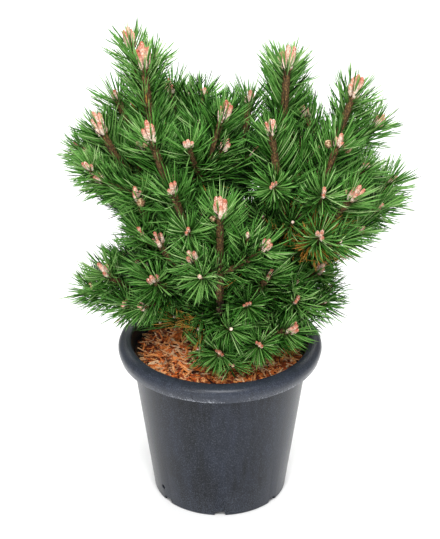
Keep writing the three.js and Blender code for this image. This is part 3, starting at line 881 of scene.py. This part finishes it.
def shoots_of(limb, seed):
    """The leader and its side shoots, number for number as the solids have them."""
    number = seeded_random(seed)
    row, direction, whorl, buds = (limb[key] for key in ("row", "direction", "whorl", "buds"))
    shoots = [shoot_on(Path(limb["end"], buds), 0, number, row)]
    full = np.linalg.norm(buds - whorl)
    for k in range(row["sides"]):
        turn = math.radians(row["turn"] + 360 * k / row["sides"] + (number() - 0.5) * STRAY["turn"])
        splay = math.radians(row["splay"] + (number() - 0.5) * STRAY["splay"])
        length = full * (row["side_length"] + (number() - 0.5) * STRAY["length"])
        root = whorl + direction * number() * STRAY["root"]
        shoots.append(shoot_on(shoot_path(root, tilted(direction, splay, turn), length), 1, number, row))
    return shoots


GOLDEN_TURN = math.pi * (3 - math.sqrt(5))
# where twigs start on their stem, as shares of it, then degrees off it, and their length in mm
ON_SIDES = dict(first=0.42, span=0.16, splay=40, length=52)
ON_WOOD = dict(first=0.24, span=0.72, splay=54, length=62, pitch=23)


def finer_twigs(limb, shoots, seed):
    """Short twigs on the side shoots and along the wood of one bough."""
    number = seeded_random(seed)
    row, wood, twigs = limb["row"], limb["path"], []

    def sprout(path, share, turn, kind, order):
        splay = math.radians(kind["splay"] + (number() - 0.5) * 14)
        length = kind["length"] * row["size"] * (0.85 + 0.3 * number())
        twig = shoot_path(path.at(share), tilted(path.heading(share), splay, turn), length, upturn=0.6)
        twigs.append(shoot_on(twig, order, number, row))

    for side in shoots[1:]:
        share = ON_SIDES["first"] + ON_SIDES["span"] * number()
        sprout(side["path"], share, number() * math.tau, ON_SIDES, 2)
    steps = max(2, round(wood.length * ON_WOOD["span"] / ON_WOOD["pitch"]))
    for k in range(steps):
        share = ON_WOOD["first"] + ON_WOOD["span"] * (k + number() * 0.6) / steps
        sprout(wood, share, k * GOLDEN_TURN + number(), ON_WOOD, 3)
    return twigs


# %% Twigs that keep clear
FRONT = unit(np.array([0, -1.0, 0.5]))  # the side that the plant is shown from
leaders = [Path(limb["end"], limb["buds"]) for limb in boughs]
leader_points = np.concatenate([leader.at(np.linspace(0.3, 1, 6)) for leader in leaders])
HIDING = dict(nearest=4, furthest=110, aside=26)  # how far before and beside a leader a tip would hide it
TWIG_TIPS = dict(rim=125, inside=268, outside=286)  # least heights on either side of a radius
# the foliage leaves the mulch bare at the left: how wide, how far back, and how steeply it is overlooked
CLEARING = dict(left=-140, right=-58, back=50, slope=0.57)


def in_clearing(points):
    """Whether points hang before the bare mulch, seen from the front."""
    x, y, z = points[..., 0], points[..., 1], points[..., 2]
    within = (x > CLEARING["left"]) & (x < CLEARING["right"]) & (y < CLEARING["back"])
    return within & (z < MULCH["crown"] + CLEARING["slope"] * (CLEARING["back"] - y))


def in_the_open(shoot):
    """Whether a twig's tip is clear of the pot, and doesn't hide a leader's stem from the front."""
    tip = shoot["path"].at(1.0)
    apart = tip - leader_points
    before = apart @ FRONT
    aside = np.linalg.norm(apart - before[:, None] * FRONT, axis=1)
    near = (before > HIDING["nearest"]) & (before < HIDING["furthest"])
    lowest = TWIG_TIPS["outside" if math.hypot(tip[0], tip[1]) > TWIG_TIPS["rim"] else "inside"]
    return tip[2] > lowest and not np.any(near & (aside < HIDING["aside"])) and not in_clearing(tip)


SIDE_SEEDS, TWIG_SEEDS = 100, 500  # the first bough's, and each further bough has the next
shoots = []
for index, limb in enumerate(boughs):
    own = shoots_of(limb, SIDE_SEEDS + index)
    shoots += own + [twig for twig in finer_twigs(limb, own, TWIG_SEEDS + index) if in_the_open(twig)]
print("shoots:", len(shoots), "in all,", round(sum(s["path"].length for s in shoots) / 1000, 1), "m long")

# %% [markdown]
# ## The shoots' stems
# A stem is a slim tube with a warty skin: every pair of needles stands on a small pad, and where needles have
# fallen the pads stay. One seven-sided tube of nine lengths is the template, and every stem is that tube bent
# along its own path and tapered to its buds.

# %% Stems
STEM = [(6.6, 5.8), (4.6, 4.0), (2.9, 2.4), (3.0, 2.4)]  # by order, the radius at the start and at the buds
SIDES, LENGTHS, WARTS = 7, 9, dict(relief=0.08, along=57, across=5)
stem_bm = tube(SIDES)
sliced(stem_bm, [k / LENGTHS for k in range(1, LENGTHS)])
stem_points, stem_faces = template(stem_bm)
x, y, z = stem_points.T
warty = 1 + WARTS["relief"] * np.sin(z * WARTS["along"] + x * WARTS["across"])
stems = []
for shoot in shoots:
    centres, axes = shoot["path"].at(z), shoot["path"].heading(z)
    start, tip = STEM[shoot["order"]]
    radius = (start + (tip - start) * z) * warty
    first = across(axes[np.argmin(z)])[0]
    firsts = unit(first - axes * (axes @ first)[:, None])
    seconds = np.cross(axes, firsts)
    stems.append(centres + firsts * (x * radius)[:, None] + seconds * (y * radius)[:, None])
stem_mesh = joined("shoot_stems", np.array(stems), stem_faces)
smooth(stem_mesh, 60)

stem_finish, tree = finish("young_bark", Roughness=0.8)
warts = cells(tree, 420.0, (1, 1, 0.6))
stem_shade = ramp(tree, mottled(tree, 70.0, 8.0), (0.3, "b4a894"), (0.7, "ffffff"))
pads = ramp(tree, warts, (0.1, "9c7c4a"), (0.34, "7c5e32"), (0.62, "523c1e"))
raised = maths(tree, "SUBTRACT", 1.0, warts)
feed(tree, Base_Color=times(tree, pads, stem_shade), Normal=bump(tree, raised, 0.0012))
show(stem_mesh, stem_finish)

# %% [markdown]
# ## Needles
# Mugo needles grow in pairs, here 3 to 7 cm long, from pads that wind round the stem by the golden turn. Low
# on a shoot they stand away from it, and towards the buds they close in. One needle is a three-sided spike
# with a ring below its shoulder, sixteen triangles in all, because there are tens of thousands. It is bent
# and turned while it is planted: it leans off its stem, bows forward, and has a partner a few degrees away.


# %% One needle, and where all of them stand
def needle_template(ring=0.36, shoulder=0.72):
    """A closed spike of unit radius along Z, from 0 to 1, that tapers beyond its shoulder."""
    bm = tube(3, shoulder, foot=0.85)
    sliced(bm, [ring])
    lid = max(bm.faces, key=lambda face: face.calc_center_median().z)
    drawn = bmesh.ops.poke(bm, faces=[lid])["verts"]
    bmesh.ops.translate(bm, verts=drawn, vec=(0, 0, 1 - drawn[0].co.z))
    return template(bm)


NEEDLE = dict(radius=0.87, length=(50, 68), bow=(0.12, 0.26), pair=0.06)
PITCH = dict(share=[0, 0.5, 0.85, 1], spread=[6, 7, 8, 11])  # shares of a stem, and degrees of chance there
PITCH |= dict(young=[58, 49, 45, 42], old=[50, 48, 46, 44])  # degrees off the stem, on shoots and old wood
PAIRS_EACH_MM = (1.5, 1.3, 1.15, 1.05)  # by order of shoot
PARTED = (0.9, 0.5, 0, 0)  # by order, how bare the front of an upright stem is
ORDER_LENGTH = (1.04, 0.93, 0.86, 0.86)
OLD_WOOD = dict(pairs_each_mm=0.95, length=0.95, bare=0.2, off=2, open_sky=0.1)
CROWN = dict(centre=np.array([10, 0, 500]), radii=np.array([275, 235, 320]))
LEVEL_FRONT = np.array([0, -1.0, 0])
needle_points, needle_faces = needle_template()
random = np.random.default_rng(7)


def openness(points):
    """0 deep in the crown to 1 at its skin and above."""
    return np.linalg.norm((points - CROWN["centre"]) / CROWN["radii"], axis=-1)


def parting(direction, axis, share):
    """1 where a needle stands on the bare front of its stem, below the buds, and 0 elsewhere."""
    sideways = unit(direction - axis * np.sum(direction * axis, axis=1, keepdims=True))
    front = LEVEL_FRONT - axis * (axis @ LEVEL_FRONT)[:, None]
    facing = np.sum(sideways * unit(front), axis=1)
    return np.clip((facing - 0.3) / 0.2, 0, 1) * np.clip((0.95 - share) / 0.1, 0, 1)


def needles_on(path, spin, pairs, bare=0.0, age="young", parted=0.0):
    """Roots, directions, the stem's axes, lengths and shares of the needles on one path."""
    k = np.arange(pairs)
    share = np.repeat(bare + (1 - bare) * (k + 0.5 + random.uniform(-0.4, 0.4, pairs)) / pairs, 2)
    turn = np.repeat(spin + k * GOLDEN_TURN, 2) + random.normal(0, 0.1, 2 * pairs)
    turn += np.tile([-1, 1], pairs) * NEEDLE["pair"]
    pitch, spread = (np.interp(share, PITCH["share"], PITCH[key]) for key in (age, "spread"))
    pitch = pitch + np.repeat(random.normal(0, 1, pairs), 2) * spread + random.normal(0, 2, 2 * pairs)
    root, axis = path.at(share), path.heading(share)
    direction = tilted(axis, np.radians(pitch), turn)
    length = random.uniform(*NEEDLE["length"], 2 * pairs) * np.interp(share, [0, 0.4, 1], [0.86, 0.95, 1.04])
    upright = np.clip((axis[:, 2] - 0.55) / 0.25, 0, 1)
    kept = random.uniform(0, 1, 2 * pairs) > parting(direction, axis, share) * upright * parted
    return tuple(column[kept] for column in (root, direction, axis, length, share))


parts = []
for shoot in shoots:
    path, order = shoot["path"], shoot["order"]
    pairs = round(path.length * PAIRS_EACH_MM[order])
    root, direction, axis, length, share = needles_on(path, shoot["spin"], pairs, parted=PARTED[order])
    length = length * ORDER_LENGTH[order] * (0.55 + 0.45 * shoot["row"]["size"])
    length *= np.interp(share, [0.85, 1], [1, 0.86])
    open_sky = openness(path.at(1.0)) + random.normal(0, 0.1)
    parts.append((root, direction, axis, length, share, np.full(len(share), open_sky)))
for limb in boughs:
    path = limb["path"]
    pairs = round(path.length * OLD_WOOD["pairs_each_mm"])
    root, direction, axis, length, share = needles_on(path, 0.0, pairs, OLD_WOOD["bare"], "old")
    root, length = root + direction * OLD_WOOD["off"], length * OLD_WOOD["length"]
    parts.append((root, direction, axis, length, share * 0.4, np.full(len(share), OLD_WOOD["open_sky"])))
root, direction, axis, length, share, open_sky = (np.concatenate(column) for column in zip(*parts))
print("needles:", len(root))


# %% [markdown]
# ## Needles that fit
# A needle that would pierce the mulch, the pot or the crown's reach isn't planted. The rest are ranked by how
# open their spray and their own tip stand, how near the buds they are, and a good deal of chance. Six tones
# of green are dealt out along that rank: painted shade deep inside the crown and painted light in the open,
# and a little lighter near the buds, where the needles are young. A few are dead and brown. Each tone is one
# joined piece with one plain colour, because a colour that belongs to a whole needle needs no pattern on it.

# %% Needles dealt out by tone
PAST_BOX = 12  # how far past the solids' box a needle may reach, in mm
NEEDLE_TIPS = dict(rim=128, inside=256, outside=277, beyond=172)  # least heights by radius, free beyond it
LIGHT = dict(spray=0.16, needle=0.12, share=0.1, chance=0.14, most=0.95)  # weights in the rank
tips = root + direction * length[:, None]
low_corner, high_corner = (np.array(corner) / MM for corner in cad_box)
inside_reach = np.all((tips > low_corner - PAST_BOX) & (tips < high_corner + PAST_BOX), axis=1)
tip_out = np.hypot(tips[:, 0], tips[:, 1])
lowest = np.where(tip_out > NEEDLE_TIPS["rim"], NEEDLE_TIPS["outside"], NEEDLE_TIPS["inside"])
over_pot = (tip_out > NEEDLE_TIPS["beyond"]) | (tips[:, 2] > lowest)
fits = inside_reach & over_pot & ~in_clearing(tips)
columns = (root, direction, axis, length, share, open_sky)
root, direction, axis, length, share, open_sky = (column[fits] for column in columns)
open_tip = openness(root + direction * length[:, None])
spray, needle = (np.minimum(value, LIGHT["most"]) for value in (open_sky, open_tip))
light = LIGHT["spray"] * spray + LIGHT["needle"] * needle
light += LIGHT["share"] * share + random.normal(0, LIGHT["chance"], len(root))
# painted light and shade: the tones are one green, darkened where the crown would shade it and lightened
# where it stands open
TONES = [  # name, colour, its share of the needles, from the darkest place to the lightest
    ("needles_shade", "081f02", 0.21),
    ("needles_deep", "1b430c", 0.22),
    ("needles_dark", "3a6e24", 0.22),
    ("needles_green", "56893c", 0.2),
    ("needles_lit_fresh", "72a052", 0.12),
    ("needles_bright", "96b676", 0.03),
]
limits = np.quantile(light, np.cumsum([part for _, _, part in TONES])[:-1])
sort = np.searchsorted(limits, light)
# withered spots: middle, radius, and the chance that a needle in it is dead
WITHERED = [(limbs["mid_right"]["whorl"], 42, 0.85), (np.array([-40.0, -50.0, 310.0]), 40, 0.4)]
withering = np.where(share < 0.3, 0.012, 0.0)
for place, width, chance in WITHERED:
    withering += chance * (np.linalg.norm(root - place, axis=1) < width)
dead = random.uniform(0, 1, len(root)) < withering
counts = [int(((sort == k) & ~dead).sum()) for k in range(len(TONES))]
print("in each tone:", counts, "dead:", int(dead.sum()))


# %% The needles' meshes
def needle_mesh(name, chosen):
    """The chosen needles as one mesh: each bows forward along its stem and a little upwards."""
    straight, long = direction[chosen], length[chosen]
    forward = axis[chosen] + UP * 0.35
    bend = unit(forward - straight * np.sum(forward * straight, axis=1, keepdims=True))
    side = np.cross(straight, bend)
    x, y, z = needle_points.T
    bow = random.uniform(*NEEDLE["bow"], len(long)) * (1.1 - 0.6 * share[chosen])
    bent = x * NEEDLE["radius"] + z**2 * (bow * long)[:, None]
    placed = bend[:, None] * bent[..., None] + side[:, None] * (y * NEEDLE["radius"])[:, None]
    placed += straight[:, None] * (z * long[:, None])[..., None]
    mesh = joined(name, root[chosen][:, None] + placed, needle_faces)
    mesh.polygons.foreach_set("use_smooth", np.ones(len(mesh.polygons), bool))
    return mesh


foliage_nodes = [f"foliage_{row['place']}" for row in BOUGHS]
for k, (name, colour, _) in enumerate(TONES):
    material = finish(name, Roughness=0.5, Base_Color=paint(colour), Specular_IOR_Level=0.13)[0]
    stands_for = foliage_nodes if name == "needles_dark" else ()  # one piece stands for all the masses
    show(needle_mesh(name, (sort == k) & ~dead), material, replaces=stands_for)
material = finish("needles_dead", Roughness=0.7, Base_Color=paint("bc8432"))[0]
show(needle_mesh("needles_dead", dead), material)

# %% [markdown]
# ## Candles
# In spring every shoot ends in buds that stretch into candles: a long one in the middle and shorter ones
# round it, each wrapped in papery scales, pink-orange at the tip and crusted with white resin below. One
# candle is a cone drawn into rings that bulge in turn, so its scales show on its outline. A share of its
# height is kept on every copy, and the colour runs from resin to pink along it.


# %% Candles
def scaly_template(profile, foot=0.62, tip=0.28, sides=8):
    """A bud of unit radius and unit height along Z, with scales that stand out in turn."""
    bm = tube(sides)
    sliced(bm, [z for z, _ in profile])
    levels = [0, *(z for z, _ in profile), 1]
    widths = [foot, *(width for _, width in profile), tip]
    for v in bm.verts:
        ring = levels.index(round(v.co.z, 2))
        column = round(math.atan2(v.co.y, v.co.x) / (math.tau / sides))
        stand = 1 if ring in (0, len(levels) - 1) else (1.07 if (ring + column) % 2 else 0.93)
        v.co.x, v.co.y = (c * widths[ring] * stand for c in v.co.xy)
    return template(bm)


# how strong the cluster on each bough's leader is, where it isn't middling
CLUSTER = dict(leader_left=1.08, leader_right=1.0, right_shoulder=1.0, centre_high=0.85, high_left=1.0)
CLUSTER |= dict(left_shoulder=0.95, centre_front=0.95, mid_right=0.72, low_left=0.68, far_right=0.4)
CLUSTER |= dict(low_front=0.45, inner_front_right=0.45, front_right=0.62, high_back_left=0.5)
CLUSTER |= dict(top_back_right=0.5)
MIDDLING, ORDER_STRENGTH = 0.6, (1, 0.55, 0.3, 0.2)
LONG_SIDE = dict(length=1.1, stronger=1.35)  # side shoots over this length have stronger buds
UNRIPE = (0, 0.04, 0.3, 0.5)  # by order, what is taken off the ripeness
CANDLE = dict(length=38, slimmest=1.7, radius=2.7, around=5, ring=1.45)
buds = []  # origin, direction, length, radius, ripeness added


def sprout_buds(shoot):
    """The cluster at the end of one shoot: a bud in the middle and shorter ones round it."""
    tip, heading = shoot["path"].at(1.0), shoot["path"].heading(1.0)
    order, row = shoot["order"], shoot["row"]
    strength = CLUSTER.get(row["place"], MIDDLING) * ORDER_STRENGTH[order] * random.uniform(0.88, 1.12)
    if order == 1 and row["side_length"] > LONG_SIDE["length"]:
        strength *= LONG_SIDE["stronger"]
    length, radius = CANDLE["length"] * strength, CANDLE["slimmest"] + CANDLE["radius"] * strength**0.6
    ripe = random.uniform(-0.12, 0.12) - UNRIPE[order]
    upright = unit(heading + UP * 0.35)
    buds.append((tip + heading, upright, length, radius, ripe))
    around = 0 if order > 1 else round(CANDLE["around"] * strength + random.uniform(-0.8, 0.6))
    spin = random.uniform(0, math.tau)
    for k in range(around):
        turn = spin + math.tau * k / around + random.normal(0, 0.2)
        lean_out = tilted(upright, math.radians(random.uniform(2, 8)), turn)
        foot_here = tip - heading + tilted(upright, math.pi / 2, turn) * radius * CANDLE["ring"]
        shorter, slimmer = random.uniform(0.55, 1.0), random.uniform(0.75, 1.0)
        buds.append((foot_here, lean_out, length * shorter, radius * slimmer, random.uniform(-0.12, 0.12)))


def planted_buds(name, shape, grown):
    """Scaly shapes planted where buds or cones grow, with how far up each point is as its ripeness."""
    origins, directions, lengths, radii, ripe = (np.array(column) for column in zip(*grown))
    first, second = across(directions)
    axes = np.stack([first * radii[:, None], second * radii[:, None], directions * lengths[:, None]], 1)
    mesh = planted(name, shape, origins, axes, {"ripeness": shape[0][None, :, 2] + ripe[:, None]})
    smooth(mesh, 70)
    return mesh


for shoot in shoots:
    sprout_buds(shoot)
candle = scaly_template([(0.14, 0.94), (0.34, 1.0), (0.54, 1.0), (0.72, 0.96), (0.86, 0.86), (0.95, 0.62)])
candle_mesh = planted_buds("candles", candle, buds)
print("candles:", len(buds))

# %% Candle finish
RESIN_TO_PINK = [(0.0, "8a6644"), (0.14, "efe2d2"), (0.5, "f5e0d2"), (0.74, "ecbca8"), (0.95, "bc7055")]
candle_finish, tree = finish("candle_scales", Roughness=0.6)
candle_colour = ramp(tree, from_mesh(tree, "ripeness"), *RESIN_TO_PINK)
resin = speckled(tree, 500.0, 0.24, 0.08)
crusted = blend(tree, maths(tree, "MULTIPLY", resin, 0.55), candle_colour, paint("fbf4ea"))
scales = cells(tree, 480.0, (1, 1, 0.7))
shadow = ramp(tree, scales, (0.3, "ffffff"), (0.8, "d6b3a0"))
feed(tree, Base_Color=times(tree, crusted, shadow), Normal=bump(tree, scales, 0.001))
show(candle_mesh, candle_finish)

# %% [markdown]
# ## Cones
# A few small round cones sit beside the buds of the older boughs, tan and shut, and one old brown one hangs
# on inside the crown. They are the same scaly shape as a candle with a rounder profile.

# %% Cones
CONES = [  # bough, degrees round its leader, radius, how far below the buds
    ("front_right", 95, 6.6, 0),
    ("front_right", 265, 6.6, 0),
    ("mid_right", 250, 5.6, 2),
    ("mid_left", 200, 6.4, 1),
    ("centre_front", 110, 4.6, 4),
    ("high_left", 100, 4.4, 6),
    ("low_right", 250, 4.2, 2),
]
cones = []
for place, turn, radius, below in CONES:
    limb = limbs[place]
    beside = tilted(limb["direction"], math.pi / 2, math.radians(turn))
    origin = limb["buds"] - limb["direction"] * below + beside * (radius + 3)
    cones.append((origin, unit(beside + UP * 0.5), radius * 1.9, radius, 0.0))
OLD_CONE = dict(length=20, radius=9.0, ripeness=-1.0)  # ripeness under 0 gives its brown
hanger = limbs["inner_right"]["end"] + np.array([20, -12, 0])
cones.append((hanger, unit(np.array([0.5, -0.6, 0.6])), *OLD_CONE.values()))
CONE_PROFILE = [(0.12, 0.74), (0.28, 0.96), (0.46, 1.0), (0.64, 0.9), (0.8, 0.68), (0.92, 0.42)]
cone_mesh = planted_buds("cones", scaly_template(CONE_PROFILE, foot=0.4, tip=0.15, sides=10), cones)

cone_finish, tree = finish("cone_scales", Roughness=0.75)
cone_colour = ramp(tree, from_mesh(tree, "ripeness"), (0.0, "5a3a20"), (0.02, "a5805a"), (0.5, "cdb08a"))
gaps = cells(tree, 320.0)
# painted shade: each scale darkens towards the gaps between the scales
gap_shade = ramp(tree, gaps, (0.2, "ffffff"), (0.7, "8d7257"))
raised = maths(tree, "SUBTRACT", 1.0, gaps)
feed(tree, Base_Color=times(tree, cone_colour, gap_shade), Normal=bump(tree, raised, 0.0015))
show(cone_mesh, cone_finish)

# %% [markdown]
# ## The floor, the light and the camera
# The plant stands in a plain pale studio. A broad lamp high over the front and one nearly overhead give the
# crown its bright top and let its inside fall dark, a weak one fills low from the left front, one behind
# keeps the floor pale there, and the pale surroundings do the rest.

# %% Floor
floor_bm = bmesh.new()
bmesh.ops.create_grid(floor_bm, x_segments=1, y_segments=1, size=8000)
floor_mesh = mesh_of(floor_bm, "studio_floor")
floor = bpy.data.objects.new("studio_floor", floor_mesh)
bpy.context.scene.collection.objects.link(floor)
floor_finish, tree = finish("studio_floor", Roughness=0.9)
pale = mottled(tree, 0.6, 5.0, 0.3)
feed(tree, Base_Color=ramp(tree, pale, (0.3, "f4f4f3"), (0.7, "f8f8f8")))
floor_mesh.materials.append(floor_finish)

# %% Lights and surroundings
scene = bpy.context.scene
scene.view_settings.view_transform = "Standard"
scene.world = bpy.data.worlds.new("studio")
scene.world.use_nodes = True
background = next(n for n in scene.world.node_tree.nodes if n.type == "BACKGROUND")
background.inputs["Color"].default_value = (1, 1, 1, 1)
background.inputs["Strength"].default_value = 0.44


def softbox(name, place, aim, width, power):
    """A square lamp in metres and watts, aimed at a point."""
    lamp = bpy.data.lights.new(name, "AREA")
    lamp.size, lamp.energy = width, power
    stand = bpy.data.objects.new(name, lamp)
    stand.location = place
    stand.rotation_mode = "QUATERNION"
    stand.rotation_quaternion = (Vector(place) - Vector(aim)).to_track_quat("Z", "Y")
    scene.collection.objects.link(stand)


softbox("key", (0.05, -1.9, 2.6), (0, 0, 0.4), 1.2, 84)
softbox("top", (0.4, 0.4, 2.8), (0, 0, 0.5), 1.6, 50)
softbox("fill", (-1.1, -2.3, 1.3), (0, 0, 0.3), 1.2, 24)
softbox("behind", (0, 3.2, 2.6), (0, 2.4, 0), 3.0, 90)

# %% Camera
DOWN = 27.2  # degrees below level
camera_data = bpy.data.cameras.new("camera")
camera_data.lens, camera_data.sensor_width = 118.75, 36
camera = bpy.data.objects.new("camera", camera_data)
camera.location = (0, -2.5, 1.68)
camera.rotation_euler = (math.radians(90 - DOWN), 0, 0)
scene.collection.objects.link(camera)
scene.camera = camera
